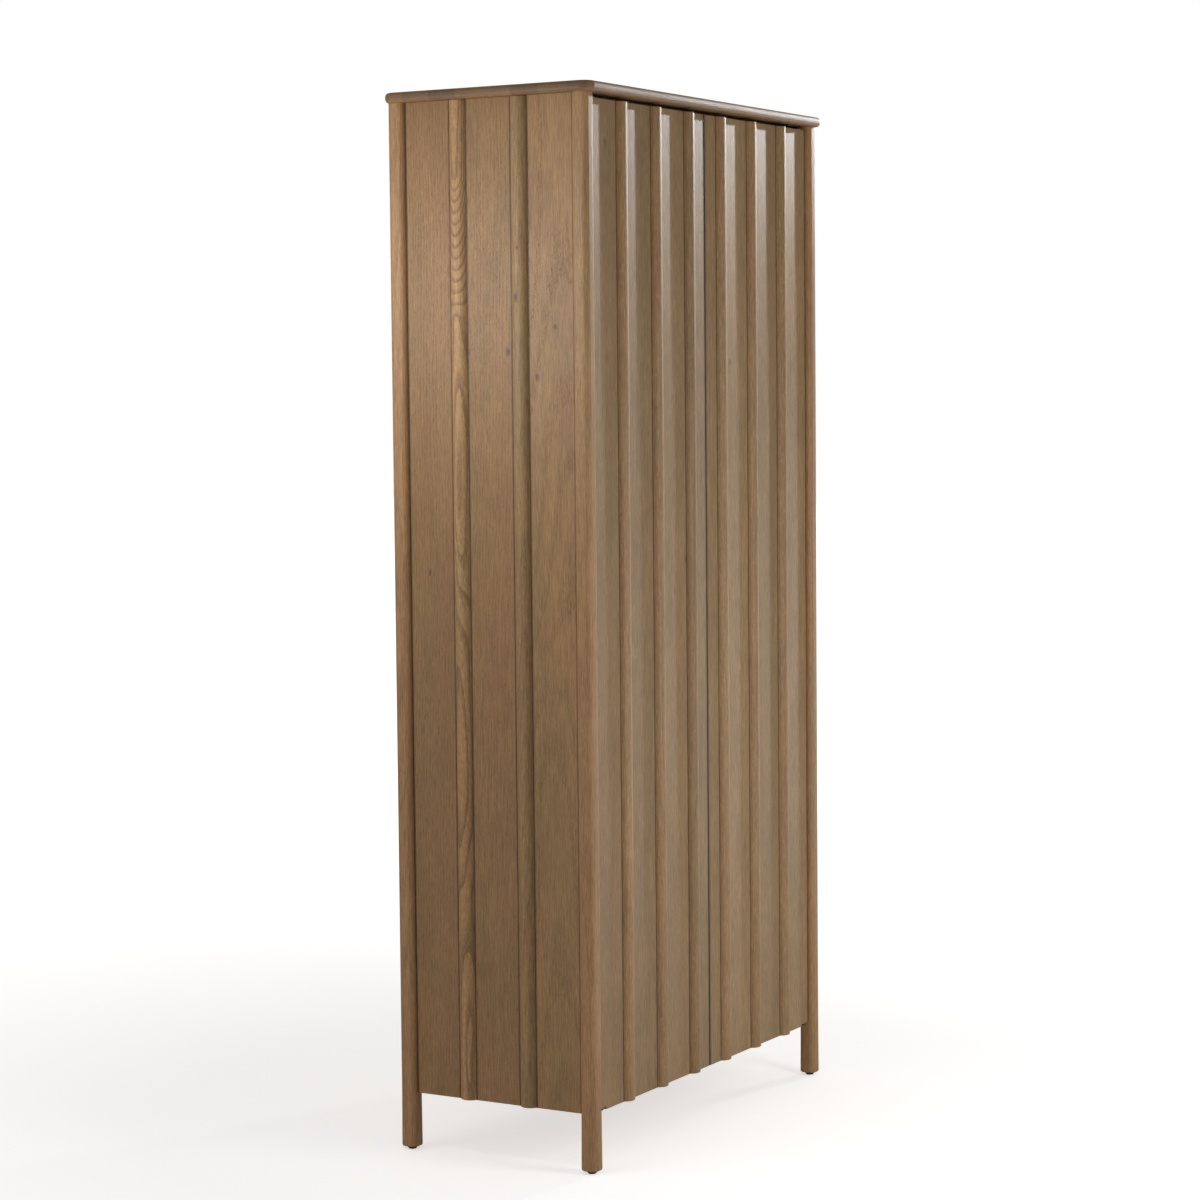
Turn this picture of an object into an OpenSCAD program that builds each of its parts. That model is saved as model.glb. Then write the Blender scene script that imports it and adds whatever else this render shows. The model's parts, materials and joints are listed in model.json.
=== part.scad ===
// Tall two-door pantry cabinet on four post legs.
// Frame: origin on the floor under the middle of the slab top, doors face -Y, +Z up.

/* [Cabinet] */
// Width over the slab top
overall_w = 1017; // [940:1:1100]
// Depth over the slab top
overall_d = 472; // [430:1:540]
// Height from the floor to the top face of the slab
overall_h = 2100; // [1900:1:2200]
// Height of the doors' and side panels' bottom edge above the floor
clear_h = 116; // [90:1:150]

/* [Slab top] */
// Thickness of the slab
slab_t = 20; // [18:1:28]
// Radius of the slab's corners seen from above
slab_corner_r = 26; // [18:1:34]
// Rounding of the slab's upper and lower edges
slab_edge_r = 8; // [4:1:8]
// How far the slab stands out past the posts at each side
slab_side_lip = 11; // [6:1:18]
// How far the slab stands out past the posts at the front
slab_front_lip = 13; // [8:1:18]
// How far the slab stands out past the posts at the rear
slab_rear_lip = 7; // [3:1:12]

/* [Posts and ribs] */
// Side of the posts' rounded-square section
post_w = 35; // [33:1:40]
// Corner radius of the posts
post_r = 12; // [8:1:12]
// Width of a rib
rib_w = 36; // [30:1:40]
// Height by which ribs and posts stand proud of the panels
proud = 12; // [11:1:14]

/* [Carcass] */
// Thickness of the side panels and level panels
board_t = 18; // [16:1:18]
// Thickness of the back panel
back_t = 8; // [6:1:8]
// Depth of the grooves in the posts that hold side and back panels
groove = 6; // [4:1:6]
// Space behind the closed doors
door_back_gap = 10; // [10:1:12]
// Thickness of the fixed middle shelf
fixed_shelf_t = 20; // [19:1:24]
// Clearance at each end of a loose shelf
shelf_play = 1; // [0.5:0.5:2]

/* [Doors] */
// Thickness of a door panel
door_t = 20; // [19:1:22]
// Gap between the doors and beside each door
door_gap = 3; // [3:0.5:5]
// Shadow gap between the doors and the slab
door_top_gap = 8; // [7:1:12]
// Distance of the hinge pin from the door's hinge edge
pivot_edge = 15; // [15:1:18]

/* [Hardware] */
// Radius of the hinge pins
pin_r = 4; // [3:0.5:4]
// Radial clearance of each hinge pin and latch plunger
running_fit = 0.05; // [0.02:0.01:0.08]
// Thickness of the steel hinge leaves
leaf_t = 3; // [2:0.5:3]
// Diameter of a levelling foot's pad
foot_d = 19; // [16:1:24]
// Height of a levelling foot's pad
foot_h = 6; // [5:1:8]
// Radius of a loose shelf's support pins
shelf_pin_r = 2.5; // [2:0.5:3]

/* [Hidden] */
$fn = 48;
eps = 0.01;
// How far a cutting shape runs past the face it opens
past = 1;

oak_light = "#9a7b5d";
oak_mid = "#8c6f52";
oak_dark = "#7d6247";
birch = "#b99a77";
steel = "#b9bcc0";
zinc = "#a8a9a4";
brass_tone = "#c2a35c";
black_nylon = "#1e1e1f";
grey_nylon = "#8f9193";

// Levels
slab_z = overall_h - slab_t;
leg_z = foot_h;
door_z0 = clear_h;
door_z1 = slab_z - door_top_gap;
leaf_lift = 1;
bottom_z = clear_h + leaf_t + leaf_lift;
sub_top_z = slab_z - board_t;
bay_bottom = bottom_z + board_t;
fixed_shelf_z = (bay_bottom + sub_top_z - fixed_shelf_t) / 2;
loose_t = board_t;

// Posts: centres and faces
post_x = overall_w / 2 - slab_side_lip - post_w / 2;
post_y0 = -overall_d / 2 + slab_front_lip + post_w / 2;
post_y1 = overall_d / 2 - slab_rear_lip - post_w / 2;
post_in_x = post_x - post_w / 2;
post_out_x = post_x + post_w / 2;
side_out_x = post_out_x - proud;
side_in_x = side_out_x - board_t;

// Depths
door_y0 = post_y0 - post_w / 2 + proud;
door_y1 = door_y0 + door_t;
panel_y0 = door_y1 + door_back_gap;
back_y1 = post_y1 + post_w / 2 - proud;
back_y0 = back_y1 - back_t;

// Ribs: seven equal bays across the front, three along each side
front_pitch = 2 * post_x / 7;
side_pitch = (post_y1 - post_y0) / 3;
rib_r = (rib_w * rib_w / 4 + proud * proud) / (2 * proud);

// Doors: the hinge pin stands pivot_face behind the front face
door_edge_x = post_in_x - door_gap;
door_w = door_edge_x - door_gap / 2;
pivot_face = 9;
pivot_x = door_edge_x - pivot_edge;
pivot_y = door_y0 + pivot_face;
leaf_inset = 0.5;
leaf_w = 2 * (pivot_face - leaf_inset);
pin_len = 20;
bush_r = 6;
bush_len = 22;
bush_flange_r = 8;
bush_flange_t = 1.2;
bush_gap = 0.3;
notch_h = leaf_lift + leaf_t + bush_gap + bush_flange_t;
notch_play = 4.5;
notch_w = pivot_edge + leaf_w / 2 + notch_play;

// Push latch
latch_x = 30;
latch_z = fixed_shelf_z + fixed_shelf_t / 2;
latch_r = 6;
latch_len = 46;
latch_flange_r = 8;
latch_flange_t = 1.5;
plunger_r = 3;
plunger_tip_r = 4;
plunger_tip_len = 4;
plunger_head_r = 4.4;
plunger_head_t = 3;
chamber_r = 4.6;
chamber_front = 13;
chamber_len = 29;
strike_r = 7.5;
strike_t = 1.5;
strike_gap = 0.2;
spring_turns = 6;
spring_steps = 12;
spring_wire_r = 0.6;
spring_play = 0.6;
wire_sides = 6;
latch_slack = 0.2;

// Door bumpers
bumper_x = 60;
bumper_r = 4.5;
bumper_peg_r = 2.5;
bumper_peg_len = 12;
bumper_collar_w = 2;
bumper_collar_t = 2;

// Feet
foot_stem_r = 3.95;
foot_taper = 2.2;
foot_shoulder = 0.45;
insert_bore_r = 4;
insert_r = 6;
insert_len = 24;
stem_len = 28;
foot_bore_len = 34;

// Shelf pins
pin_in_wall = 8;
pin_reach = 14;
pin_hole_depth = 9;
pin_setback = 37;
pin_collar_w = 2;
pin_collar_t = 1.5;
hole_pitch = 32;
holes_each_way = 2;
shelf_inset = 3;
loose_y0 = panel_y0 + shelf_inset;
loose_y1 = back_y0 - shelf_inset;
pin_columns = [panel_y0 + pin_setback, back_y0 - pin_setback];
bay_h = fixed_shelf_z - bay_bottom;
loose_step = (bay_h - 2 * loose_t) / 3 + loose_t;
loose_z = [
    for (base = [bay_bottom, fixed_shelf_z + fixed_shelf_t], k = [1, 2])
        base + k * loose_step - loose_t
];

// Screws
screw_r = 2;
screw_head_r = 4;
screw_head_h = 2.4;
screw_head_slope = (screw_head_r - screw_r) / screw_head_h;
recess_len = 4.4;
recess_w = 0.9;
recess_d = 1.2;
slab_screw_len = 30;
back_screw_len = 32;
hinge_screw_len = 15;
slab_screw_x = [-380, -130, 130, 380];
slab_screw_y = [-120, 130];
back_screw_x = [-400, -140, 140, 400];
hinge_screw_steps = [28, 50];

// Wall rail
rail_h = 80;
rail_t = 18;
rail_play = 1;
rail_hole_r = 2.75;
rail_hole_spacing = 406.4;

// Heights of the screws through the back panel
back_screw_z = [
    bottom_z + board_t / 2,
    fixed_shelf_z + fixed_shelf_t / 2,
    sub_top_z - rail_h / 2,
    sub_top_z + board_t / 2
];

// Rectangle with round corners, centred, built from squares and circles
module round_rect(w, h, r) {
    square([w, h - 2 * r], center = true);
    square([w - 2 * r, h], center = true);
    for (x = [-1, 1], y = [-1, 1])
        translate([x * (w / 2 - r), y * (h / 2 - r)]) circle(r);
}

// Box between two corners
module block(low, high) {
    translate(low) cube(high - low);
}

// Mirrored copy for the right-hand side: sx is -1 on the left and 1 on the right
module on_side(sx) {
    if (sx > 0) mirror([1, 0, 0]) children();
    else children();
}

// Countersunk screw: head at the origin, shank towards +Z
module screw(len) {
    difference() {
        union() {
            cylinder(h = screw_head_h, r1 = screw_head_r, r2 = screw_r);
            cylinder(h = len, r = screw_r);
        }
        for (a = [0, 90])
            rotate(a) translate([0, 0, recess_d / 2 - eps])
                cube([recess_len, recess_w, recess_d], center = true);
    }
}

// Space that a screw takes in the boards it joins
module screw_hole(len) {
    mouth_r = screw_head_r + eps * screw_head_slope;
    translate([0, 0, -eps]) cylinder(h = screw_head_h + eps, r1 = mouth_r, r2 = screw_r);
    cylinder(h = len + past, r = screw_r);
}

module at_slab_screws() {
    for (x = slab_screw_x, y = slab_screw_y)
        translate([x, y, sub_top_z]) children();
}

module at_back_screws() {
    for (x = back_screw_x, z = back_screw_z)
        translate([x, back_y1, z]) rotate([90, 0, 0]) children();
}

// Screws of the left-hand hinge leaves, mirrored by on_side for the right
module at_top_leaf_screws() {
    for (s = hinge_screw_steps)
        translate([-pivot_x + s, pivot_y, slab_z - leaf_t]) children();
}

module at_bottom_leaf_screws() {
    for (s = hinge_screw_steps)
        translate([-pivot_x, pivot_y + s, bottom_z - leaf_t]) children();
}

module at_shelf_pins() {
    for (z = loose_z, y = pin_columns, sx = [-1, 1])
        translate([sx * side_in_x, y, z - shelf_pin_r]) rotate([0, sx * 90, 0]) children();
}

// ---- Carcass ----

module top_slab() {
    color(oak_mid) difference() {
        translate([0, 0, slab_z + slab_t / 2]) {
            rotate([90, 0, 0]) linear_extrude(overall_d - 2 * slab_corner_r, center = true)
                round_rect(overall_w, slab_t, slab_edge_r);
            rotate([90, 0, 90]) linear_extrude(overall_w - 2 * slab_corner_r, center = true)
                round_rect(overall_d, slab_t, slab_edge_r);
            for (x = [-1, 1], y = [-1, 1])
                translate([
                    x * (overall_w / 2 - slab_corner_r),
                    y * (overall_d / 2 - slab_corner_r),
                    0
                ]) rotate_extrude() slab_corner_profile();
        }
        at_slab_screws() screw_hole(slab_screw_len);
        for (sx = [-1, 1]) on_side(sx) at_top_leaf_screws() screw_hole(hinge_screw_len);
    }
}

// Half section of a slab corner: flat towards the axis, round outside
module slab_corner_profile() {
    intersection() {
        round_rect(2 * slab_corner_r, slab_t, slab_edge_r);
        translate([0, -slab_t / 2]) square([slab_corner_r, slab_t]);
    }
}

// Post with its foot bore, side panel groove and, at the rear, back panel groove.
// sx is -1 left, 1 right; sy is -1 front, 1 rear.
module post(sx, sy) {
    y = sy < 0 ? post_y0 : post_y1;
    inner_y = y - sy * post_w / 2;
    color(oak_light) on_side(sx) difference() {
        translate([-post_x, y, leg_z])
            linear_extrude(slab_z - leg_z) round_rect(post_w, post_w, post_r);
        translate([-post_x, y, leg_z - eps]) cylinder(h = foot_bore_len, r = insert_r);
        block(
            [-side_out_x, min(inner_y - sy * eps, inner_y + sy * groove), clear_h],
            [-side_in_x, max(inner_y - sy * eps, inner_y + sy * groove), slab_z + eps]
        );
        if (sy > 0)
            block([-post_in_x - groove, back_y0, bottom_z], [-post_in_x + eps, back_y1, slab_z + eps]);
    }
}

module side_panel(sx) {
    color(oak_mid) on_side(sx) difference() {
        block(
            [-side_out_x, post_y0 + post_w / 2 - groove, clear_h],
            [-side_in_x, post_y1 - post_w / 2 + groove, slab_z]
        );
        for (z = loose_z, y = pin_columns, k = [-holes_each_way:holes_each_way])
            translate([-side_in_x + eps, y, z - shelf_pin_r + k * hole_pitch])
                rotate([0, -90, 0]) cylinder(h = pin_hole_depth, r = shelf_pin_r);
    }
}

// Upright half-round rib standing on a face whose outside is -Y of the rib's own frame
module rib(z0, z1) {
    translate([0, 0, z0]) linear_extrude(z1 - z0) intersection() {
        translate([0, rib_r - proud]) circle(rib_r);
        translate([-rib_w, -rib_w]) square([2 * rib_w, rib_w]);
    }
}

// k counts the ribs of one side from the front
module side_rib(sx, k) {
    color(oak_light) on_side(sx)
        translate([-side_out_x, post_y0 + k * side_pitch, 0]) rotate(-90) rib(clear_h, slab_z);
}

module back_panel() {
    color(birch) difference() {
        block(
            [-post_in_x - groove, back_y0, bottom_z],
            [post_in_x + groove, back_y1, slab_z]
        );
        at_back_screws() screw_hole(back_screw_len);
        at_rail_holes() cylinder(h = rail_t + back_t + 2 * past, r = rail_hole_r);
    }
}

// Level board between the side panels, notched round the rear posts
module level_board(z, t) {
    difference() {
        block([-side_in_x, panel_y0, z], [side_in_x, back_y0, z + t]);
        for (sx = [-1, 1]) on_side(sx)
            block(
                [-side_in_x - eps, post_y1 - post_w / 2, z - eps],
                [-post_in_x, back_y0 + eps, z + t + eps]
            );
    }
}

module bottom_panel() {
    color(birch) difference() {
        level_board(bottom_z, board_t);
        at_back_screws() screw_hole(back_screw_len);
        for (sx = [-1, 1]) on_side(sx) at_bottom_leaf_screws() screw_hole(hinge_screw_len);
        at_bumpers(bottom_z) bumper_peg();
    }
}

module sub_top() {
    color(birch) difference() {
        level_board(sub_top_z, board_t);
        at_slab_screws() screw_hole(slab_screw_len);
        at_back_screws() screw_hole(back_screw_len);
        at_bumpers(sub_top_z) bumper_peg();
    }
}

module fixed_shelf() {
    color(birch) difference() {
        level_board(fixed_shelf_z, fixed_shelf_t);
        at_back_screws() screw_hole(back_screw_len);
        for (sx = [-1, 1]) at_latch(sx) cylinder(h = latch_len, r = latch_r);
    }
}

// Rail under the sub top that takes the two wall screws
module wall_rail() {
    color(birch) difference() {
        block(
            [-post_in_x + rail_play, back_y0 - rail_t, sub_top_z - rail_h],
            [post_in_x - rail_play, back_y0, sub_top_z]
        );
        at_back_screws() screw_hole(back_screw_len);
        at_rail_holes() cylinder(h = rail_t + back_t + 2 * past, r = rail_hole_r);
    }
}

module at_rail_holes() {
    for (x = [-1, 1])
        translate([x * rail_hole_spacing / 2, back_y0 - rail_t - past, sub_top_z - rail_h / 2])
            rotate([-90, 0, 0]) children();
}

// k counts the loose shelves from the bottom
module loose_shelf(k) {
    color(birch)
        block(
            [-post_in_x + shelf_play, loose_y0, loose_z[k]],
            [post_in_x - shelf_play, loose_y1, loose_z[k] + loose_t]
        );
}

// ---- Hardware of the carcass ----

module shelf_pins() {
    color(zinc) at_shelf_pins() {
        translate([0, 0, -pin_reach]) cylinder(h = pin_reach + pin_in_wall, r = shelf_pin_r);
        translate([0, 0, -pin_collar_t])
            cylinder(h = pin_collar_t, r = shelf_pin_r + pin_collar_w);
    }
}

module slab_screws() {
    color(steel) at_slab_screws() screw(slab_screw_len);
}

module back_screws() {
    color(steel) at_back_screws() screw(back_screw_len);
}

module hinge_screws() {
    color(steel) for (sx = [-1, 1]) on_side(sx) {
        at_top_leaf_screws() screw(hinge_screw_len);
        at_bottom_leaf_screws() screw(hinge_screw_len);
    }
}

// Flat leaf with a round nose, lying along +X from the pin at the origin
module leaf_plate() {
    length = hinge_screw_steps[1] + leaf_w / 2;
    linear_extrude(leaf_t) {
        circle(leaf_w / 2);
        translate([0, -leaf_w / 2]) square([length, leaf_w]);
    }
}

module hinge_leaf_top(sx) {
    color(steel) on_side(sx) difference() {
        translate([-pivot_x, pivot_y, slab_z - leaf_t]) {
            leaf_plate();
            translate([0, 0, eps - pin_len]) cylinder(h = pin_len, r = pin_r);
        }
        at_top_leaf_screws() screw_hole(hinge_screw_len);
    }
}

module hinge_leaf_bottom(sx) {
    color(steel) on_side(sx) difference() {
        translate([-pivot_x, pivot_y, bottom_z - leaf_t]) {
            rotate(90) leaf_plate();
            translate([0, 0, leaf_t - eps]) cylinder(h = pin_len, r = pin_r);
        }
        at_bottom_leaf_screws() screw_hole(hinge_screw_len);
    }
}

// Front edge of the fixed shelf at the latch, looking along +Y into the board
module at_latch(sx) {
    translate([sx * latch_x, panel_y0, latch_z]) rotate([-90, 0, 0]) children();
}

module latch_housing(sx) {
    color(grey_nylon) at_latch(sx) difference() {
        union() {
            cylinder(h = latch_len, r = latch_r);
            translate([0, 0, -latch_flange_t]) cylinder(h = latch_flange_t, r = latch_flange_r);
        }
        translate([0, 0, -latch_flange_t - past])
            cylinder(h = chamber_front + latch_flange_t + 2 * past, r = plunger_r + running_fit);
        translate([0, 0, chamber_front]) cylinder(h = chamber_len, r = chamber_r);
    }
}

module latch_plunger(sx) {
    tip = strike_gap - door_back_gap;
    head = chamber_front + latch_slack;
    color(black_nylon) at_latch(sx) {
        translate([0, 0, tip]) cylinder(h = head + eps - tip, r = plunger_r);
        translate([0, 0, tip]) cylinder(h = plunger_tip_len, r = plunger_tip_r);
        translate([0, 0, head]) cylinder(h = plunger_head_t, r = plunger_head_r);
    }
}

// Ring of points across the spring wire at step i of the coil
function spring_ring(i, pitch, coil_r) =
    let (a = 360 * i / spring_steps, h = pitch * i / spring_steps)
    [for (b = [0:360 / wire_sides:359])
        let (r = coil_r + spring_wire_r * cos(b))
        [r * cos(a), r * sin(a), h + spring_wire_r * sin(b)]];

module latch_spring(sx) {
    start = chamber_front + latch_slack + plunger_head_t;
    pitch = (chamber_front + chamber_len - start - 2 * spring_wire_r) / spring_turns;
    coil_r = chamber_r - spring_wire_r - spring_play;
    rings = spring_turns * spring_steps;
    points = [for (i = [0:rings]) each spring_ring(i, pitch, coil_r)];
    sides = [
        for (i = [0:rings - 1], b = [0:wire_sides - 1])
            let (c = (b + 1) % wire_sides, low = i * wire_sides, high = low + wire_sides)
            each [[low + b, high + c, low + c], [low + b, high + b, high + c]]
    ];
    ends = [
        [for (b = [0:wire_sides - 1]) b],
        [for (b = [wire_sides - 1:-1:0]) rings * wire_sides + b]
    ];
    color(steel) at_latch(sx) translate([0, 0, start + spring_wire_r])
        polyhedron(points, concat(sides, ends));
}

// Front edge of the level board at height z, looking along +Y into the board
module at_bumpers(z) {
    for (x = [-bumper_x, bumper_x])
        translate([x, panel_y0, z + board_t / 2]) rotate([-90, 0, 0]) children();
}

module bumper_peg() {
    translate([0, 0, -eps]) cylinder(h = bumper_peg_len, r = bumper_peg_r);
}

module door_bumpers() {
    reach = door_back_gap - strike_gap;
    color(grey_nylon) for (z = [bottom_z, sub_top_z]) at_bumpers(z) {
        bumper_peg();
        translate([0, 0, -reach]) cylinder(h = reach, r = bumper_r);
        translate([0, 0, -bumper_collar_t])
            cylinder(h = bumper_collar_t, r = bumper_r + bumper_collar_w);
    }
}

// Places each foot: sx is -1 left, 1 right; sy is -1 front, 1 rear
module at_foot(sx, sy) {
    translate([sx * post_x, sy < 0 ? post_y0 : post_y1, 0]) children();
}

module foot_inserts() {
    color(brass_tone) for (sx = [-1, 1], sy = [-1, 1]) at_foot(sx, sy)
        translate([0, 0, leg_z]) difference() {
            cylinder(h = insert_len, r = insert_r);
            translate([0, 0, -past]) cylinder(h = insert_len + 2 * past, r = insert_bore_r);
        }
}

// Pad that tapers to the floor, with its stem up into the post
module foot(sx, sy) {
    color(black_nylon) at_foot(sx, sy) {
        rotate_extrude() polygon([
            [0, 0],
            [foot_d / 2 - foot_taper, 0],
            [foot_d / 2, foot_h * foot_shoulder],
            [foot_d / 2, foot_h],
            [0, foot_h]
        ]);
        translate([0, 0, foot_h - eps]) cylinder(h = stem_len, r = foot_stem_r);
    }
}

// ---- Doors ----

module door_panel(sx) {
    color(oak_dark) on_side(sx) difference() {
        block([-door_edge_x, door_y0, door_z0], [-door_edge_x + door_w, door_y1, door_z1]);
        block(
            [-door_edge_x - eps, door_y0 - eps, door_z0 - eps],
            [-door_edge_x + notch_w, door_y1 + eps, door_z0 + notch_h]
        );
        translate([-pivot_x, pivot_y, door_z0]) cylinder(h = notch_h + bush_len, r = bush_r);
        translate([-pivot_x, pivot_y, door_z1 - bush_len])
            cylinder(h = bush_len + past, r = bush_r);
        translate([-latch_x, door_y1 + eps, latch_z]) rotate([90, 0, 0])
            cylinder(h = strike_t + eps, r = strike_r);
    }
}

// k counts the ribs from the hinge side
module door_rib(sx, k) {
    color(oak_light) on_side(sx)
        translate([-post_x + (k + 1) * front_pitch, door_y0, 0]) rib(door_z0, door_z1);
}

// Flanged bush with the back of its flange at the origin and its body along +Z
module bush() {
    difference() {
        union() {
            cylinder(h = bush_len, r = bush_r);
            translate([0, 0, -bush_flange_t]) cylinder(h = bush_flange_t, r = bush_flange_r);
        }
        translate([0, 0, -bush_flange_t - past])
            cylinder(h = bush_len + bush_flange_t + 2 * past, r = pin_r + running_fit);
    }
}

module hinge_bushes(sx) {
    color(brass_tone) on_side(sx) {
        translate([-pivot_x, pivot_y, door_z0 + notch_h]) bush();
        translate([-pivot_x, pivot_y, door_z1]) mirror([0, 0, 1]) bush();
    }
}

module strike_disc(sx) {
    color(steel) translate([sx * latch_x, door_y1, latch_z]) rotate([90, 0, 0])
        cylinder(h = strike_t, r = strike_r);
}

top_slab();
post(-1, -1);  // post_front_left
post(1, -1);  // post_front_right
post(-1, 1);  // post_rear_left
post(1, 1);  // post_rear_right
side_panel(-1);  // side_panel_left
side_panel(1);  // side_panel_right
side_rib(-1, 1);  // side_rib_left_front
side_rib(-1, 2);  // side_rib_left_rear
side_rib(1, 1);  // side_rib_right_front
side_rib(1, 2);  // side_rib_right_rear
back_panel();
bottom_panel();
sub_top();
wall_rail();
fixed_shelf();
loose_shelf(0);  // loose_shelf_1
loose_shelf(1);  // loose_shelf_2
loose_shelf(2);  // loose_shelf_3
loose_shelf(3);  // loose_shelf_4
shelf_pins();
slab_screws();
back_screws();
hinge_screws();
hinge_leaf_top(-1);  // hinge_leaf_top_left
hinge_leaf_top(1);  // hinge_leaf_top_right
hinge_leaf_bottom(-1);  // hinge_leaf_bottom_left
hinge_leaf_bottom(1);  // hinge_leaf_bottom_right
latch_housing(-1);  // latch_housing_left
latch_housing(1);  // latch_housing_right
latch_spring(-1);  // latch_spring_left
latch_spring(1);  // latch_spring_right
latch_plunger(-1);  // latch_plunger_left
latch_plunger(1);  // latch_plunger_right
door_bumpers();
foot_inserts();
door_panel(-1);  // door_panel_left
door_panel(1);  // door_panel_right
door_rib(-1, 0);  // door_rib_left_outer
door_rib(-1, 1);  // door_rib_left_middle
door_rib(-1, 2);  // door_rib_left_inner
door_rib(1, 0);  // door_rib_right_outer
door_rib(1, 1);  // door_rib_right_middle
door_rib(1, 2);  // door_rib_right_inner
hinge_bushes(-1);  // hinge_bushes_left
hinge_bushes(1);  // hinge_bushes_right
strike_disc(-1);  // strike_disc_left
strike_disc(1);  // strike_disc_right
foot(-1, -1);  // foot_front_left
foot(1, -1);  // foot_front_right
foot(-1, 1);  // foot_rear_left
foot(1, 1);  // foot_rear_right
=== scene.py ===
"""Looks of a tall two-door oak pantry cabinet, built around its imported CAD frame."""
import json
import math
import random

import bmesh
import bpy
from mathutils import Matrix, Vector

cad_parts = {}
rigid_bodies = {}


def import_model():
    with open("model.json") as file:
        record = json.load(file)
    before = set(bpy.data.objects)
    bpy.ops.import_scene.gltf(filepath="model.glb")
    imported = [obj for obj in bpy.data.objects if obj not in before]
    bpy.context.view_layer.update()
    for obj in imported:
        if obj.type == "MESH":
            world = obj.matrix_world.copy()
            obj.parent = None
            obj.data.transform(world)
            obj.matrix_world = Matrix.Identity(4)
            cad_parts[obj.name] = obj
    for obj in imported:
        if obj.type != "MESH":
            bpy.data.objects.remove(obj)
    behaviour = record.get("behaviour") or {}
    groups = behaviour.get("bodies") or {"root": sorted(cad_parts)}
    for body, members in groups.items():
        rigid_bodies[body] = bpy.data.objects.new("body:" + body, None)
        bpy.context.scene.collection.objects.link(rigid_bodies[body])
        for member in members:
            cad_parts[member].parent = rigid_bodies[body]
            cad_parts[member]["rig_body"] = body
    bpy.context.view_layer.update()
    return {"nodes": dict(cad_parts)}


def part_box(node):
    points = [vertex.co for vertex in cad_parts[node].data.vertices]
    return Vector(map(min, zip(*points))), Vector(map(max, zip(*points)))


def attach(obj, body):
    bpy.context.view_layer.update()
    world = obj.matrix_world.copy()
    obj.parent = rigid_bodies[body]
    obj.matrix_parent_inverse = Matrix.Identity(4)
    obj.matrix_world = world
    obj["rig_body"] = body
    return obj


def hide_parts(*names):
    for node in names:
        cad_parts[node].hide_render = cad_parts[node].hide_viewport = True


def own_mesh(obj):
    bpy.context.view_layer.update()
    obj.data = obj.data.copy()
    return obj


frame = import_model()
MM = 0.001

SIDES = ("left", "right")
CORNERS = [f"{end}_{side}" for end in ("front", "rear") for side in SIDES]
POSTS = ["post_" + corner for corner in CORNERS]
FEET = ["foot_" + corner for corner in CORNERS]
SHELVES = [f"loose_shelf_{k}" for k in range(1, 5)]
SIDE_RIBS = [f"side_rib_{side}_{end}" for side in SIDES for end in ("front", "rear")]
DOOR_RIBS = [f"door_rib_{side}_{place}" for side in SIDES for place in ("outer", "middle", "inner")]

# Pin knots and dark checks on the outer faces: along the face, height and radius, in millimetres
SIDE_KNOTS = ((-37.9, 1591.0, 4.5), (-102.7, 1542.3, 4.0), (-144.1, 1637.2, 3.0), (148.0, 1160.0, 3.0))
DOOR_KNOTS = ((-403.9, 1990.1, 3.5), (108.4, 1571.4, 3.0), (-90.0, 1171.2, 4.0))
RIB_KNOTS = {"side_rib_left_front": ((-64.0, 1696.0, 5.0), (-68.0, 1790.0, 2.2))}

# Brightness of the ribs that differ most from their neighbours
RIB_TONES = {"side_rib_left_rear": 1.42, "side_rib_left_front": 1.15,
             "door_rib_left_outer": 1.30, "door_rib_left_inner": 1.0}

# Cut of the rib whose face shows cathedral arches: where the pith leaves it, and its lean
ARCHED = {"side_rib_left_rear": {"pith": (0.0725, -0.7075), "lean": 0.14, "ring": 1.4,
                                 "shift": (0.002, 0.0, 0.0), "leaning": (1.66, 1.93)}}

# The front leaf of the sides is cut from a slightly different board. The doors' tints are their wood
# colour with painted light: the right door is painted brighter than the left, for the light that falls
# more strongly on it.
DOOR_TINTS_AND_LIGHT = {"left": (0.95, 1.12, 1.24), "right": (1.07, 1.26, 1.40)}
SIDE_TINT = (0.95, 0.97, 0.88)
FRONT_LEAF_TINT = (1.13, 1.18, 1.20)
INSIDE_TINT = (1.15, 1.13, 1.08)

SLAB_CORNER = 26 * MM
SLAB_EDGE = 8 * MM
POST_CORNER = 12 * MM
POST_FLARE = 0.8 * MM
POST_ROUND = 4 * MM
RIB_EASE = 2 * MM
DOOR_EDGE = 1.0 * MM
SMALL_EDGE = 0.25 * MM
FOOT_EDGE = 0.6 * MM


# ---- Node trees ----

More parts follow.
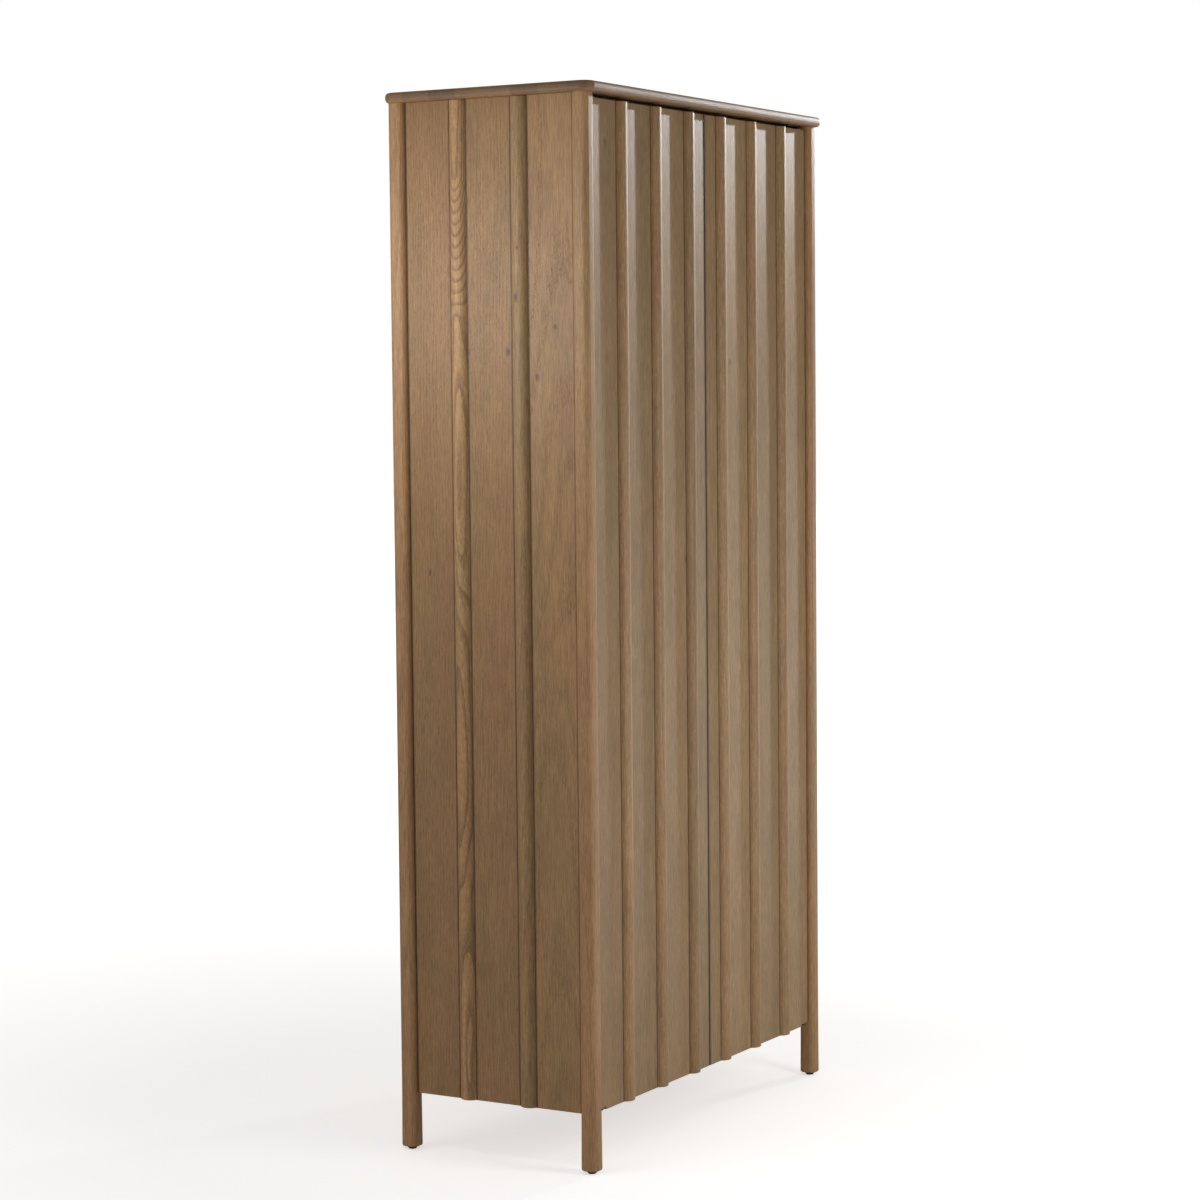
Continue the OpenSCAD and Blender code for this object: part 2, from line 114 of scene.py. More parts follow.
class Tree:
    """Short calls that add nodes to one node tree."""

    def __init__(self, tree):
        self.tree = tree

    def put(self, node, inputs):
        """Feeds a node's inputs, by name or number, with other nodes' outputs or with values."""
        for key, value in dict(inputs).items():
            if isinstance(value, bpy.types.NodeSocket):
                self.tree.links.new(value, node.inputs[key])
            else:
                node.inputs[key].default_value = value
        return node

    def add(self, kind, inputs=(), **settings):
        """A new node with its settings and its inputs."""
        node = self.tree.nodes.new(kind)
        for key, value in settings.items():
            setattr(node, key, value)
        return self.put(node, inputs)

    def math(self, operation, *values, clamp=False):
        node = self.add("ShaderNodeMath", enumerate(values), operation=operation, use_clamp=clamp)
        return node.outputs[0]

    def vector(self, operation, *values):
        node = self.add("ShaderNodeVectorMath", enumerate(values), operation=operation)
        return node.outputs["Value" if operation == "LENGTH" else "Vector"]

    def noise(self, vector, scale=1.0, detail=2.0, roughness=0.5, distortion=0.0):
        node = self.add("ShaderNodeTexNoise", {
            "Vector": vector, "Scale": scale, "Detail": detail,
            "Roughness": roughness, "Distortion": distortion})
        return node.outputs["Fac"]

    def remap(self, value, low, high, to_low=0.0, to_high=1.0):
        node = self.add("ShaderNodeMapRange", {
            "Value": value, "From Min": low, "From Max": high,
            "To Min": to_low, "To Max": to_high})
        return node.outputs["Result"]

    def mix(self, factor, a, b, blend="MIX"):
        """Colour a turned into b by the factor; 0, 6 and 7 are the colour inputs of the node."""
        node = self.add("ShaderNodeMix", {0: factor, 6: a, 7: b}, data_type="RGBA", blend_type=blend)
        return node.outputs[2]

    def combine(self, x, y, z):
        return self.add("ShaderNodeCombineXYZ", {"X": x, "Y": y, "Z": z}).outputs[0]

    def split(self, vector):
        return self.add("ShaderNodeSeparateXYZ", {"Vector": vector}).outputs[:]

    def shade(self, color, level):
        """The colour made darker or brighter by a level."""
        return self.mix(1.0, color, self.combine(level, level, level), blend="MULTIPLY")

    def place(self):
        """The point in the piece's own coordinates."""
        return self.add("ShaderNodeTexCoord").outputs["Object"]

    def relief(self, shader, height, strength, distance):
        """Fine relief on the shader's surface."""
        bump = self.add("ShaderNodeBump", {"Height": height, "Strength": strength,
                                           "Distance": distance})
        self.put(shader, {"Normal": bump.outputs["Normal"]})


def new_material(name):
    """An empty material: the material, its tree and its shader."""
    mat = bpy.data.materials.new(name)
    mat.use_nodes = True
    return mat, Tree(mat.node_tree), mat.node_tree.nodes["Principled BSDF"]


def rgb(r, g, b):
    return (r, g, b, 1.0)


# ---- Wood ----

PORE = rgb(0.110, 0.052, 0.020)
EARLY = rgb(0.270, 0.135, 0.054)
LATE = rgb(0.370, 0.190, 0.080)
PALE = rgb(0.460, 0.250, 0.112)
KNOT = rgb(0.050, 0.030, 0.018)

# Multiplied into the wood in slow patches
OLIVE = rgb(0.94, 1.02, 0.98)
PINK = rgb(0.98, 0.985, 0.97)

RING = 3.4 * MM          # from one year's ring to the next
DRIFT = 50 * MM          # how far the log's axis wanders along it
RIPPLE = 10 * MM         # how far its rings waver
END_DARK = 0.62          # end grain against the faces
RIB_SHADE_DARK = 0.15         # painted shade in the corners beside the ribs and posts
GAP_SHADE_DARK = 0.42      # painted shade on the edges of the doors, for the shaded gap where they meet
GAP_SHADE_REACH = 9 * MM         # how far from the middle of the cabinet that painted shade reaches


def stretched(t, place, across, along):
    """The place scaled for a noise that is long in the grain: cells per metre each way."""
    return t.vector("MULTIPLY", place, (across, across, along))


def wander(t, place, across, along, detail, size):
    """A slow shift to and fro, of that size."""
    slow = t.noise(stretched(t, place, across, along), 1.0, detail)
    return t.math("MULTIPLY", t.math("SUBTRACT", slow, 0.5), size)


def years(t, place, pith, lean):
    """Count of rings out from the pith, whose drift and lean draw the cathedrals."""
    x, y, z = t.split(place)
    px, py, _ = t.split(pith)
    drift = wander(t, place, 3.0, 1.1, 1.0, DRIFT)
    ripple = wander(t, place, 22.0, 2.6, 2.0, RIPPLE)
    dx = t.math("ADD", t.math("SUBTRACT", x, px), ripple)
    dy = t.math("SUBTRACT", t.math("ADD", t.math("SUBTRACT", y, py), drift),
                t.math("MULTIPLY", z, lean))
    radius = t.math("SQRT", t.math("ADD", t.math("MULTIPLY", dx, dx), t.math("MULTIPLY", dy, dy)))
    return t.math("DIVIDE", radius, RING)


def ring_color(t, place, rings, early, ring):
    """Darker early wood, years that differ, and long streaks."""
    year = t.noise(t.combine(t.math("MULTIPLY", rings, 0.55), 0.0, 0.0), 1.0, 1.0)
    streak = t.noise(stretched(t, place, 120.0, 3.0), 1.0, 2.0)
    wood = t.mix(t.math("MULTIPLY", early, ring), LATE, EARLY)
    wood = t.mix(t.remap(year, 0.35, 0.7, 0.0, 0.25), wood, EARLY)
    return t.mix(t.remap(streak, 0.36, 0.64, 0.0, 0.32), wood, EARLY)


def face_color(t, place, wood, fibre, figure):
    """The wood with its pale fibres, slow shifts of hue, and the pale flecks of the rays."""
    patch = t.noise(stretched(t, place, 15.0, 2.2), 1.0, 2.0)
    fleck = t.noise(stretched(t, place, 260.0, 90.0), 1.0, 2.0)
    wood = t.mix(t.remap(fibre, 0.34, 0.68, 0.0, 0.55), wood, PALE)
    wood = t.mix(t.remap(patch, 0.36, 0.54, 1.0, 0.0), wood, OLIVE, blend="MULTIPLY")
    wood = t.mix(t.remap(patch, 0.50, 0.66), wood, PINK, blend="MULTIPLY")
    return t.mix(t.math("MULTIPLY", t.remap(fleck, 0.60, 0.72), figure), wood, PALE)


def uneven(t, place):
    """A level that changes in short ticks along the grain and in soft clouds."""
    tick = t.noise(stretched(t, place, 560.0, 38.0), 1.0, 2.0, 0.7)
    cloud = t.noise(stretched(t, place, 19.0, 6.0), 1.0, 2.0)
    return t.math("MULTIPLY", t.remap(tick, 0.34, 0.66, 0.78, 1.19),
                  t.remap(cloud, 0.36, 0.64, 0.93, 1.05))


def oak_sockets(group):
    """What goes into the oak group and what comes out of it."""
    for name, kind in (("Place", "Vector"), ("Pith", "Vector"), ("Lean", "Float"),
                       ("Figure", "Float"), ("Ring", "Float")):
        group.interface.new_socket(name, in_out="INPUT", socket_type="NodeSocket" + kind)
    for name, kind in (("Color", "Color"), ("Height", "Float"), ("Rough", "Float")):
        group.interface.new_socket(name, in_out="OUTPUT", socket_type="NodeSocket" + kind)


def oak_group():
    """Node group: oak as a solid log, grain along Z, seen on whichever face cuts it."""
    group = bpy.data.node_groups.new("oak_log", "ShaderNodeTree")
    oak_sockets(group)
    t = Tree(group)
    place, pith, lean, figure, ring = t.add("NodeGroupInput").outputs[:5]
    rings = years(t, place, pith, lean)
    early = t.remap(t.math("FRACT", rings), 0.0, 0.42, 1.0, 0.0)
    fibre = t.noise(stretched(t, place, 430.0, 12.0), 1.0, 3.0, 0.62)
    pore = t.noise(stretched(t, place, 1900.0, 110.0), 1.0, 1.0)
    holes = t.math("MULTIPLY", t.remap(pore, 0.58, 0.66), t.remap(early, 0.0, 0.5, 0.3, 1.0))

    # a ring above 1 draws the early wood as bold dark lines
    bold = t.math("MULTIPLY", early, t.math("SUBTRACT", ring, 1.0), clamp=True)
    wood = face_color(t, place, ring_color(t, place, rings, early, ring), fibre, figure)
    wood = t.shade(t.mix(bold, wood, PORE), uneven(t, place))
    wood = t.mix(t.math("MULTIPLY", holes, 0.40), wood, PORE)

    height = t.math("SUBTRACT", t.math("MULTIPLY", fibre, 0.35), holes)
    height = t.math("SUBTRACT", height, t.math("MULTIPLY", early, 0.12))
    rough = t.math("ADD", t.remap(fibre, 0.3, 0.7, 0.50, 0.60), t.math("MULTIPLY", holes, 0.2))
    t.add("NodeGroupOutput", {0: wood, 1: height, 2: rough})
    return group


OAK = oak_group()


def along_grain(t, place, grain, facing):
    """The place turned to run across, into and along the board, and the end grain's share."""
    x, y, z = t.split(place)
    normal = t.split(t.add("ShaderNodeTexCoord").outputs["Normal"])
    turned = {"XZ": (y, z, x), "XY": (z, y, x), "ZY": (x, y, z), "ZX": (y, x, z)}[grain + facing]
    end = t.math("ABSOLUTE", normal["XYZ".index(grain)])
    return t.combine(*turned), t.remap(end, 0.55, 0.95)


def staves(t, place, width, start, seed):
    """Moves each glued stave to a place of its own in the log, and gives its random share."""
    across = t.split(place)[0]
    index = t.math("FLOOR", t.math("DIVIDE", t.math("SUBTRACT", across, start), width))
    chance = t.add("ShaderNodeTexWhiteNoise", {"W": t.math("ADD", index, seed)},
                   noise_dimensions="1D")
    random_place = t.vector("MULTIPLY", chance.outputs["Color"], (0.35, 0.10, 3.0))
    return t.vector("ADD", place, random_place), chance.outputs["Value"]


def in_log(t, place, rng, lean, shift=None, leaning=None):
    """Where the board lies in its log: shifted as told or at random, and leaning as told."""
    place = t.vector("ADD", place, shift or (rng.uniform(-0.02, 0.02), 0.0, rng.uniform(0, 9)))
    if leaning:
        height = t.split(place)[2]
        kept = t.math("MINIMUM", t.math("MAXIMUM", height, leaning[0]), leaning[1])
        straight = t.math("MULTIPLY", t.math("SUBTRACT", height, kept), lean)
        place = t.vector("ADD", place, t.combine(0.0, straight, 0.0))
    return place


def painted_shade_lines(t, flat, pitch, start, reach, depth, gap_shade=0.0):
    """Painted shade: darkens the corners beside the ribs and posts, where their shadow falls, on the
    face further out than depth.

    gap_shade is how far from the middle of the cabinet the edges of the doors get painted shade, for
    the shaded gap where they meet.
    """
    across, into, _ = t.split(flat)
    turn = t.math("DIVIDE", t.math("SUBTRACT", across, start), pitch)
    turned = t.math("ABSOLUTE", t.math("SUBTRACT", turn, t.math("ROUND", turn)))
    off = t.math("MULTIPLY", turned, pitch)
    clear = t.remap(off, reach + 1.0 * MM, reach + 4.5 * MM, RIB_SHADE_DARK, 1.0)
    if gap_shade:
        # painted shade at the door edges, for the shaded gap between the doors
        edge = t.remap(t.math("ABSOLUTE", across), gap_shade / 3, gap_shade, GAP_SHADE_DARK, 1.0)
        clear = t.math("MINIMUM", clear, edge)
    covered = t.math("LESS_THAN", off, reach - 1.0 * MM)
    inner = t.math("LESS_THAN", t.math("ABSOLUTE", into), depth)
    return t.math("MAXIMUM", clear, t.math("MAXIMUM", covered, inner))


def spots_on(knots, facing, depth):
    """The knots as points and radii in metres, on the face that lies at that depth."""
    spots = []
    for along, height, size in knots:
        x, y = (depth, along * MM) if facing == "X" else (along * MM, depth)
        spots.append(((x, y, height * MM), size * MM))
    return spots


def knots_at(t, place, spots):
    """How near a point is to a knot: 1 in its middle, falling to 0 around it."""
    near = 0.0
    for spot, size in spots:
        away = t.vector("MULTIPLY", t.vector("SUBTRACT", place, spot), (1.0, 1.0, 0.55))
        gone = t.math("DIVIDE", t.vector("LENGTH", away), size)
        one = t.math("EXPONENT", t.math("MULTIPLY", t.math("MULTIPLY", gone, gone), -1.0))
        near = t.math("ADD", near, one)
    return near


def swirled(t, place, near):
    """The grain drawn aside around the knots."""
    swirl = t.combine(t.math("MULTIPLY", near, 6 * MM), t.math("MULTIPLY", near, 9 * MM), 0.0)
    return t.vector("ADD", place, swirl)


def oak(name, grain="Z", facing="Y", seed=0.0, tint=(1.0, 1.0, 1.0), pith=(0.02, 0.09),
        lean=0.012, figure=0.25, ring=0.30, stave=None, start=0.0, spread=0.12, spots=(),
        bump=0.5, shift=None, leaf=None, seam=None, leaning=None):
    """Matt lacquered oak. stave is the width of its glued strips or veneer leaves.

    shift is its place in the log, when it isn't a random one. leaf is a limit across the
    grain and the tint of what lies before it. seam sets the painted shade beside the
    ribs: how far the ribs reach to each side of the joints between the staves, the depth of
    the panel's middle, and how far the painted shade of the gap reaches where two panels meet.
    leaning is the stretch of height in which the log leans, when it isn't all of it.
    """
    mat, t, shader = new_material(name)
    flat, end = along_grain(t, t.place(), grain, facing)
    near = knots_at(t, t.place(), spots)
    log, share = staves(t, flat, stave, start, seed) if stave else (flat, None)
    log = in_log(t, log, random.Random(f"{name} {seed}"), lean, shift, leaning)
    if spots:
        log = swirled(t, log, near)
    wood = t.add("ShaderNodeGroup", {"Place": log, "Pith": (*pith, 0.0), "Lean": lean,
                                     "Figure": figure, "Ring": ring}, node_tree=OAK)
    color = t.mix(1.0, wood.outputs["Color"], rgb(*tint), blend="MULTIPLY")
    if stave:
        color = t.shade(color, t.remap(share, 0.0, 1.0, 1.0 - spread, 1.0 + spread))
    if leaf:
        before = t.math("LESS_THAN", t.split(flat)[0], leaf[0])
        color = t.mix(before, color, rgb(*leaf[1]), blend="MULTIPLY")
    # painted shade beside the ribs and posts, and at the gap where the doors meet
    if seam:
        color = t.shade(color, painted_shade_lines(t, flat, stave, start, *seam))
    color = t.shade(color, t.remap(end, 0.0, 1.0, 1.0, END_DARK))
    if spots:
        color = t.mix(t.math("MULTIPLY", near, 0.75, clamp=True), color, KNOT)
    t.put(shader, {"Base Color": color, "Roughness": wood.outputs["Rough"],
                   "Specular IOR Level": 0.72})
    t.relief(shader, wood.outputs["Height"], bump, 0.4 * MM)
    return mat


# ---- Metal and nylon ----

def metal(name, color, rough=0.32):
    """Plated or brushed metal: fine lines, dull patches and a little relief."""
    mat, t, shader = new_material(name)
    lines = t.noise(stretched(t, t.place(), 900.0, 40.0), 1.0, 3.0)
    dull = t.noise(t.place(), 90.0, 4.0, 0.6)
    spread = t.math("ADD", t.remap(lines, 0.3, 0.7, rough - 0.06, rough + 0.08),
                    t.remap(dull, 0.45, 0.75, 0.0, 0.16))
    t.put(shader, {"Base Color": t.shade(rgb(*color), t.remap(dull, 0.3, 0.7, 0.82, 1.05)),
                   "Roughness": spread, "Metallic": 1.0})
    t.relief(shader, lines, 0.25, 0.1 * MM)
    return mat


def nylon(name, color, rough=0.48):
    """Moulded nylon: fine leathery relief, scuffs and dust in the colour."""
    mat, t, shader = new_material(name)
    grit = t.noise(t.place(), 2600.0, 3.0, 0.6)
    scuff = t.noise(t.place(), 140.0, 4.0, 0.65, 0.8)
    worn = tuple(min(1.0, c * 1.9 + 0.02) for c in color)
    mottled = t.mix(t.remap(scuff, 0.52, 0.74, 0.0, 0.6), rgb(*color), rgb(*worn))
    t.put(shader, {"Base Color": mottled,
                   "Roughness": t.remap(scuff, 0.3, 0.7, rough - 0.06, rough + 0.16)})
    t.relief(shader, grit, 0.3, 0.1 * MM)
    return mat


# ---- Shapes ----

def corner_normals(mesh, smooth_angle):
    """Normals of face corners, led by the largest faces, so that flat faces shade flat."""
    limit = math.cos(math.radians(smooth_angle))
    around = [[] for _ in mesh.vertices]
    for face in mesh.polygons:
        for v in face.vertices:
            around[v].append((face.normal.copy(), face.area))
    normals = []
    for face in mesh.polygons:
        for v in face.vertices:
            total = Vector()
            for normal, area in around[v]:
                if normal.dot(face.normal) > limit:
                    total += normal * area
            normals.append(total.normalized() if total.length else face.normal.copy())
    return normals


def new_object(name, data):
    """A new object of that data, in the scene."""
    obj = bpy.data.objects.new(name, data)
    bpy.context.scene.collection.objects.link(obj)
    return obj


def finish_mesh(name, bm, smooth_angle=50.0):
    """Turns a bmesh into an object whose edges look soft up to that angle."""
    bmesh.ops.recalc_face_normals(bm, faces=bm.faces)
    mesh = bpy.data.meshes.new(name)
    bm.to_mesh(mesh)
    bm.free()
    mesh.shade_smooth()
    mesh.normals_split_custom_set(corner_normals(mesh, smooth_angle))
    return new_object(name, mesh)


def loft(name, rings):
    """Skin over closed rings of points, capped at both ends."""
    bm = bmesh.new()
    rows = [[bm.verts.new(p) for p in ring] for ring in rings]
    count = len(rows[0])
    for low, high in zip(rows, rows[1:]):
        for k in range(count):
            j = (k + 1) % count
            bm.faces.new((low[k], low[j], high[j], high[k]))
    bm.faces.new(rows[0])
    bm.faces.new(rows[-1])
    return finish_mesh(name, bm)


def round_rect(mid, z, w, d, r, steps=8):
    """Rectangle with round corners about mid, at the height z, anticlockwise from its +X side."""
    points = []
    for quarter, (sx, sy) in enumerate(((1, 1), (-1, 1), (-1, -1), (1, -1))):
        for k in range(steps + 1):
            a = math.radians(90 * (quarter + k / steps))
            points.append((mid.x + sx * (w / 2 - r) + r * math.cos(a),
                           mid.y + sy * (d / 2 - r) + r * math.sin(a), z))
    return points


def rounding(radius, steps):
    """Quarter round from an end to a side: how far each step is from the end and the side."""
    turns = [math.radians(90 * k / steps) for k in range(steps + 1)]
    return [(radius * (1 - math.cos(a)), radius * (1 - math.sin(a))) for a in turns]


def both_ends(low, high, steps):
    """Heights and insets that round both ends of what stands between two heights."""
    below = [(low + rise, inset) for rise, inset in steps]
    above = [(high - rise, inset) for rise, inset in reversed(steps)]
    return below + above


def place_piece(obj, node, material):
    """Puts obj in the place of a CAD node: same body, and the given material in its one slot."""
    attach(obj, frame["nodes"][node]["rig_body"])
    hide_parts(node)
    obj.data.materials.clear()
    obj.data.materials.append(material)
    return obj


def eased(node, material, width=0.8 * MM, shortest=2.0 * MM):
    """Copy of a CAD node with its sharp edges rounded and its curves shaded smooth."""
    bm = bmesh.new()
    bm.from_mesh(frame["nodes"][node].data)
    bmesh.ops.remove_doubles(bm, verts=bm.verts, dist=1e-6)
    bmesh.ops.dissolve_limit(bm, angle_limit=math.radians(0.5), verts=bm.verts, edges=bm.edges)
    sharp = [e for e in bm.edges if len(e.link_faces) == 2 and e.calc_length() > shortest
             and e.calc_face_angle(0.0) > math.radians(40)]
    if sharp:
        bmesh.ops.bevel(bm, geom=sharp, offset=width, offset_type="OFFSET", segments=2,
                        profile=0.5, affect="EDGES", clamp_overlap=True)
    return place_piece(finish_mesh(node + "_finish", bm), node, material)


def slab(material):
    """Slab with half-round edges, swept round its rounded plan."""
    low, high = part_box("top_slab")
    mid, w, d = (low + high) / 2, high.x - low.x, high.y - low.y
    rings = [round_rect(mid, z, w - 2 * inset, d - 2 * inset, SLAB_CORNER - inset, 10)
             for z, inset in both_ends(low.z, high.z, rounding(SLAB_EDGE, 6))]
    return place_piece(loft("slab", rings), "top_slab", material)


def post(node, material):
    """Post with a rounded section, which flares a little and rounds over at its foot."""
    low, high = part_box(node)
    mid, w = (low + high) / 2, high.x - low.x
    levels = [(low.z + rise, POST_FLARE - inset) for rise, inset in rounding(POST_ROUND, 5)]
    levels += [(low.z + rise * MM, grow * MM) for rise, grow in ((30, 0.6), (70, 0.25), (110, 0))]
    levels += [(high.z - 1 * MM, 0.0), (high.z, -0.5 * MM)]
    rings = [round_rect(mid, z, w + 2 * out, w + 2 * out, POST_CORNER + out) for z, out in levels]
    return place_piece(loft(node + "_turned", rings), node, material)


def rib_section(w, proud, inset):
    """Points over a rib: how far along its width, and how far out of the panel."""
    half, tall = w / 2 - inset, proud - inset
    r = (half * half + tall * tall) / (2 * tall)
    reach = math.asin(half / r)
    turns = [reach * (k / 12 - 1) for k in range(25)]
    return [(r * math.sin(a), r * math.cos(a) - r + tall) for a in turns]


def rib(node, material):
    """Half-round rib with eased ends, on the front of a door or the outside of a side."""
    low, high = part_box(node)
    size, mid = high - low, (low + high) / 2
    back, outward = (high.x, -1) if mid.x < 0 else (low.x, 1)
    rings = []
    for z, inset in both_ends(low.z, high.z, rounding(RIB_EASE, 4)):
        if node in DOOR_RIBS:
            rings.append([(mid.x + s, high.y - h, z) for s, h in rib_section(size.x, size.y, inset)])
        else:
            rings.append([(back + outward * h, mid.y + s, z)
                          for s, h in rib_section(size.y, size.x, inset)])
    return place_piece(loft(node + "_shaped", rings), node, material)


# ---- The cabinet ----

def warm(tone, olive):
    """A tint of that brightness; olive turns it from tan towards grey-green."""
    return (tone * (1.0 - 0.07 * olive), tone * (1.0 + 0.03 * olive), tone * (0.98 + 0.06 * olive))


def middle(node, axis):
    """Middle of a CAD node along an axis: 0, 1 or 2."""
    low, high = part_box(node)
    return (low[axis] + high[axis]) / 2


def build_posts(rng):
    for node in POSTS:
        wood = oak(node + "_oak", facing="X", seed=rng.uniform(0, 50),
                   tint=warm(rng.uniform(1.24, 1.30), 0.4),
                   pith=(rng.uniform(-0.5, 0.5), 0.05), figure=0.35, ring=0.5)
        post(node, wood)


def build_ribs(rng):
    for node in SIDE_RIBS + DOOR_RIBS:
        on_door = node in DOOR_RIBS
        tone = RIB_TONES.get(node, rng.uniform(1.1, 1.25))
        cut = {"seed": rng.uniform(0, 50),
               "pith": (rng.uniform(-0.3, 0.3), -0.04 if on_door else 0.04),
               "lean": rng.uniform(-0.03, 0.03), "ring": 0.55}
        cut.update(ARCHED.get(node, {}))
        spots = spots_on(RIB_KNOTS.get(node, ()), "X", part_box(node)[0].x + 0.5 * MM)
        rib(node, oak(node + "_oak", tint=warm(tone, 0.9), facing="Y" if on_door else "X",
                      figure=0.9, spots=spots, **cut))


def build_slab():
    slab(oak("slab_oak", "X", "Z", 3.0, warm(0.95, 0.5), pith=(0.01, 0.07), stave=62 * MM,
             spread=0.2, ring=0.4, bump=0.25))


def build_side(side, reach):
    """A side veneered in leaves that meet under its ribs. Its knots are on the left one."""
    start = middle("side_rib_left_rear", 1)
    bay = start - middle("side_rib_left_front", 1)
    spots = spots_on(SIDE_KNOTS, "X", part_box("side_panel_left")[0].x)
    # the face gets painted shade beside its ribs and posts
    wood = oak("side_oak_" + side, "Z", "X", 7.0, SIDE_TINT, stave=bay, start=start,
               spread=0.05, spots=spots if side == "left" else (),
               leaf=(start - bay, FRONT_LEAF_TINT), seam=(reach, middle("side_panel_right", 0)))
    eased("side_panel_" + side, wood)


def build_door(side, reach):
    """A door veneered in leaves that meet under its ribs, with painted shade beside its ribs and at
    the edge that meets the other.
    """
    bay = middle("door_rib_right_middle", 0) - middle("door_rib_right_inner", 0)
    spots = spots_on(DOOR_KNOTS, "Y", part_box("door_panel_left")[0].y)
    # the right door's brighter tint is painted light
    wood = oak("door_oak_" + side, "Z", "Y", 17.0, DOOR_TINTS_AND_LIGHT[side], stave=bay, start=bay / 2,
               spread=0.06, spots=spots,
               seam=(reach, -middle("door_panel_right", 1), GAP_SHADE_REACH))
    eased("door_panel_" + side, wood, DOOR_EDGE)


def build_inside():
    boards = oak("interior_oak", "X", "Z", 23.0, INSIDE_TINT, stave=110 * MM, spread=0.05)
    rail = oak("rail_oak", "X", "Y", 25.0, INSIDE_TINT, stave=110 * MM, spread=0.05)
    back = oak("back_oak", "Z", "Y", 29.0, INSIDE_TINT, stave=150 * MM, spread=0.05)
    for node in ["bottom_panel", "sub_top", "fixed_shelf"] + SHELVES:
        eased(node, boards)
    eased("wall_rail", rail)
    eased("back_panel", back)


def sprung(piece):
    """Gives the latch's spring a mesh of its own."""
    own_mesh(piece)


def build_hinges_and_latches(steel, brass, black, grey):
    burnished = metal("burnished_steel", (0.060, 0.056, 0.052), 0.42)
    for side in SIDES:
        for level in ("top", "bottom"):
            eased(f"hinge_leaf_{level}_{side}", burnished, SMALL_EDGE)
        eased("hinge_bushes_" + side, brass, SMALL_EDGE)
        eased("strike_disc_" + side, steel, SMALL_EDGE)
        eased("latch_housing_" + side, grey, SMALL_EDGE)
        eased("latch_plunger_" + side, black, SMALL_EDGE)
        sprung(eased("latch_spring_" + side, steel, SMALL_EDGE))


def build_hardware():
    plated = metal("zinc_plate", (0.62, 0.61, 0.57), 0.38)
    brass = metal("satin_brass", (0.74, 0.56, 0.28), 0.34)
    black = nylon("black_nylon", (0.022, 0.021, 0.020))
    grey = nylon("grey_nylon", (0.34, 0.35, 0.36))
    build_hinges_and_latches(metal("satin_steel", (0.56, 0.57, 0.58)), brass, black, grey)
    for node in ("slab_screws", "back_screws", "hinge_screws"):
        eased(node, plated, SMALL_EDGE)
    eased("shelf_pins", plated, SMALL_EDGE)
    eased("foot_inserts", brass, SMALL_EDGE)
    eased("door_bumpers", grey, SMALL_EDGE)
    for node in FEET:
        eased(node, black, FOOT_EDGE, shortest=0.1 * MM)


def build_cabinet():
    rng = random.Random(11)
    build_posts(rng)
    build_ribs(rng)
    build_slab()
    reach = (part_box("side_rib_left_rear")[1].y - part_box("side_rib_left_rear")[0].y) / 2
    for side in SIDES:
        build_side(side, reach)
        build_door(side, reach)
    build_inside()
    build_hardware()


# ---- Studio ----

FLOOR_SIZE = 60.0


def floor_paint(name, low, high, glowing):
    """Matt paint with soft specks. The glowing one turns white far from the cabinet."""
    mat, t, shader = new_material(name)
    tone = t.remap(t.noise(t.place(), 3.0, 3.0), 0.3, 0.7, low, high)
    t.put(shader, {"Base Color": t.combine(tone, tone, tone), "Roughness": 0.9,
                   "Specular IOR Level": 0.0})
    if glowing:
        glow = t.remap(t.vector("LENGTH", t.place()), 1.0, 4.5, 0.57, 1.0)
        t.put(shader, {"Emission Color": rgb(1, 1, 1), "Emission Strength": glow})
    return mat


def floor_sheet(name, rise, paint, seen):
    """A sheet of floor that only the camera sees, or that only the light sees."""
    bm = bmesh.new()
    bmesh.ops.create_grid(bm, x_segments=1, y_segments=1, size=FLOOR_SIZE / 2)
    obj = finish_mesh(name, bm)
    obj.location.z = rise
    obj.data.materials.append(paint)
    obj.visible_camera = seen
    obj.visible_diffuse = not seen
    obj.visible_glossy = not seen
    obj.visible_transmission = not seen
    obj.visible_shadow = False


def floor():
    """Pale floor in two sheets, so that the light it throws back can be dimmer than it looks."""
    floor_sheet("floor", 0.0, floor_paint("floor_paint", 0.985, 1.0, True), True)
    floor_sheet("floor_bounce", -2 * MM, floor_paint("floor_bounce_paint", 0.78, 0.80, False), False)


def aimed(name, data, place, target, power, color):
    """A light in the scene, out of the camera's sight, aimed at a point."""
    data.energy = power
    data.color = color
    obj = new_object(name, data)
    obj.location = place
    obj.rotation_euler = (Vector(target) - Vector(place)).to_track_quat("-Z", "Y").to_euler()
    obj.visible_camera = False


def area_light(name, place, target, size, power, color=(1, 1, 1)):
    data = bpy.data.lights.new(name, "AREA")
    data.shape = "RECTANGLE"
    data.size, data.size_y = size
    aimed(name, data, place, target, power, color)


def spot_light(name, place, target, radius, angle, power, color):
    data = bpy.data.lights.new(name, "SPOT")
    data.shadow_soft_size = radius
    data.spot_size = math.radians(angle)
    data.spot_blend = 1.0
    aimed(name, data, place, target, power, color)


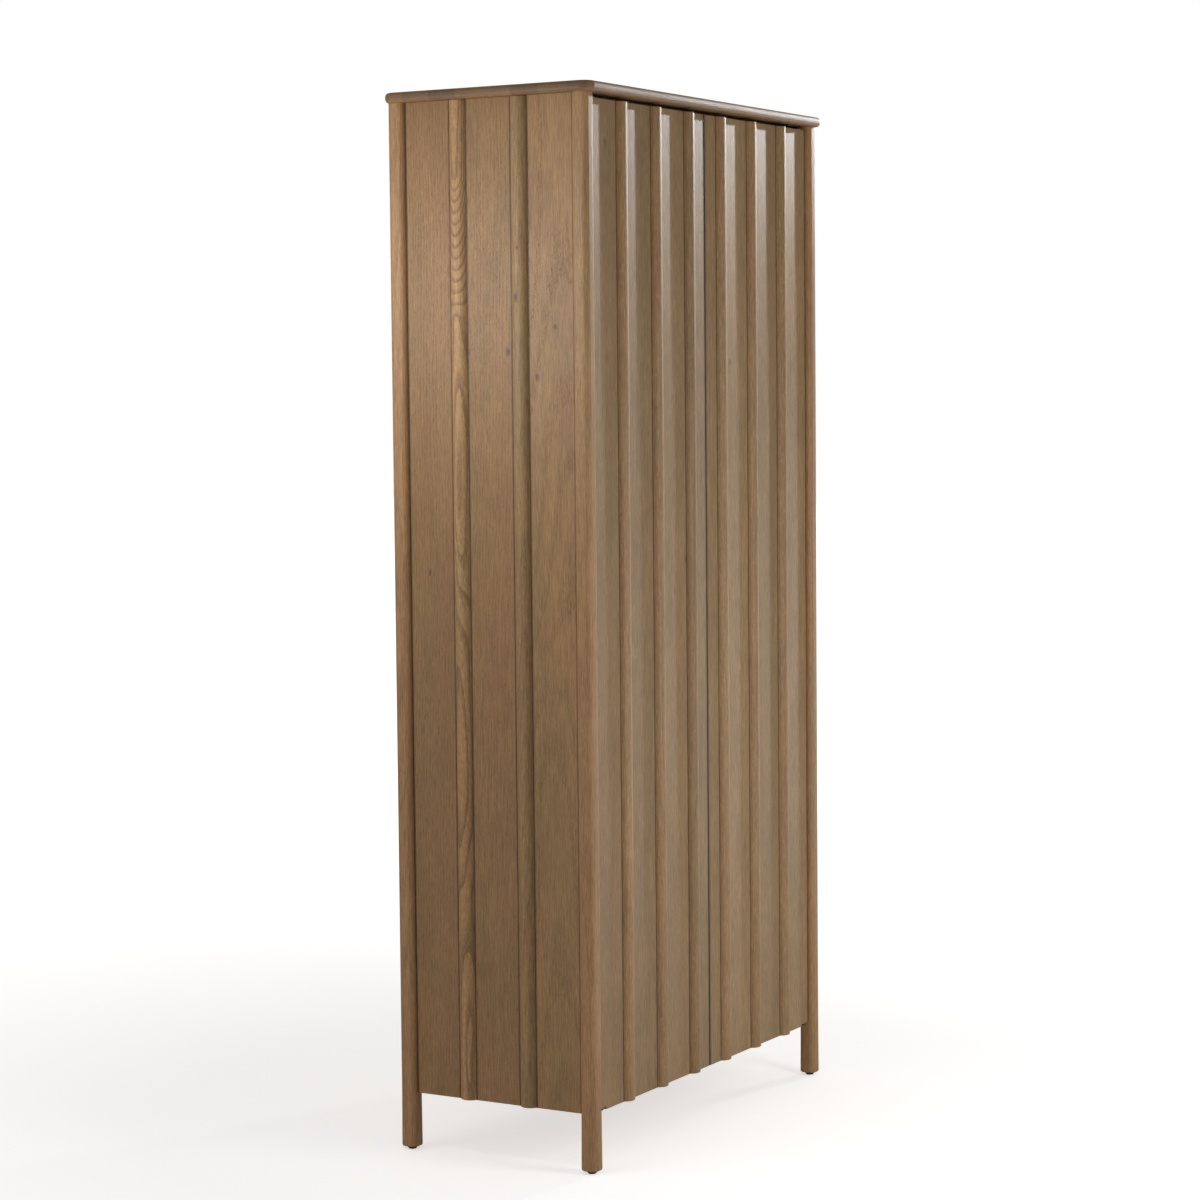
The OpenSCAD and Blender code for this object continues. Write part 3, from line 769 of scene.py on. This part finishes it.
def world_light():
    """White to the camera, a soft grey room to everything else."""
    world = bpy.data.worlds.new("studio")
    bpy.context.scene.world = world
    world.use_nodes = True
    world.node_tree.nodes.clear()
    t = Tree(world.node_tree)
    up = t.split(t.add("ShaderNodeTexCoord").outputs["Generated"])[2]
    glow = t.remap(t.math("MULTIPLY", up, up), 0.0, 1.0, 0.32, 0.19)
    room = t.add("ShaderNodeBackground", {"Color": rgb(1.0, 0.98, 0.95), "Strength": glow})
    white = t.add("ShaderNodeBackground", {"Color": rgb(1, 1, 1), "Strength": 1.0})
    seen = t.add("ShaderNodeLightPath").outputs["Is Camera Ray"]
    both = t.add("ShaderNodeMixShader", {0: seen, 1: room.outputs[0], 2: white.outputs[0]})
    t.add("ShaderNodeOutputWorld", {"Surface": both.outputs[0]})


CAMERA_PLACE = (-5.4628, -3.1139, 1.5200)
CAMERA_TURN = (59.980, -4.014, -0.519)     # degrees round to the right, up, and over
CAMERA_LENS = 90.606                       # mm, on film 36 mm wide


def camera():
    """The photograph's view: from the left front, 1.5 m above the floor."""
    data = bpy.data.cameras.new("camera")
    data.sensor_width = 36.0
    data.lens = CAMERA_LENS
    data.clip_end = 200.0
    obj = new_object("camera", data)
    yaw, pitch, roll = (math.radians(a) for a in CAMERA_TURN)
    ahead = Vector((math.sin(yaw) * math.cos(pitch), math.cos(yaw) * math.cos(pitch),
                    math.sin(pitch)))
    level = Vector((math.cos(yaw), -math.sin(yaw), 0.0))
    above = level.cross(ahead)
    right = level * math.cos(roll) + above * math.sin(roll)
    top = above * math.cos(roll) - level * math.sin(roll)
    turn = Matrix((right, top, -ahead)).transposed().to_4x4()
    obj.matrix_world = Matrix.Translation(CAMERA_PLACE) @ turn
    bpy.context.scene.camera = obj


def studio():
    floor()
    world_light()
    area_light("side_glow", (-1.10, 0.22, 1.73), (-0.49, 0.0, 1.68), (0.6, 0.25), 2.7,
               (0.97, 1.0, 1.05))
    area_light("side_fill", (-3.8, 1.9, 1.0), (-0.49, 0.0, 0.9), (2.4, 2.4), 21.0,
               (1.12, 1.0, 0.90))
    area_light("front_key", (-0.25, -1.9, 1.02), (0.1, -0.21, 1.02), (0.6, 1.0), 9.6)
    area_light("right_strip", (2.9, -0.78, 0.95), (0.0, -0.21, 0.95), (0.12, 1.7), 13.5)
    area_light("low_fill", (0.6, -1.5, 0.25), (0.0, -0.21, 0.3), (1.6, 0.4), 1.6)
    spot_light("front_rake", (2.60, -0.642, 2.51), (-0.2, -0.22, 2.13), 21 * MM, 36.0, 212.0,
               (0.95, 1.0, 1.05))
    view = bpy.context.scene.view_settings
    view.view_transform = "Standard"
    view.look = "None"


build_cabinet()
studio()
camera()
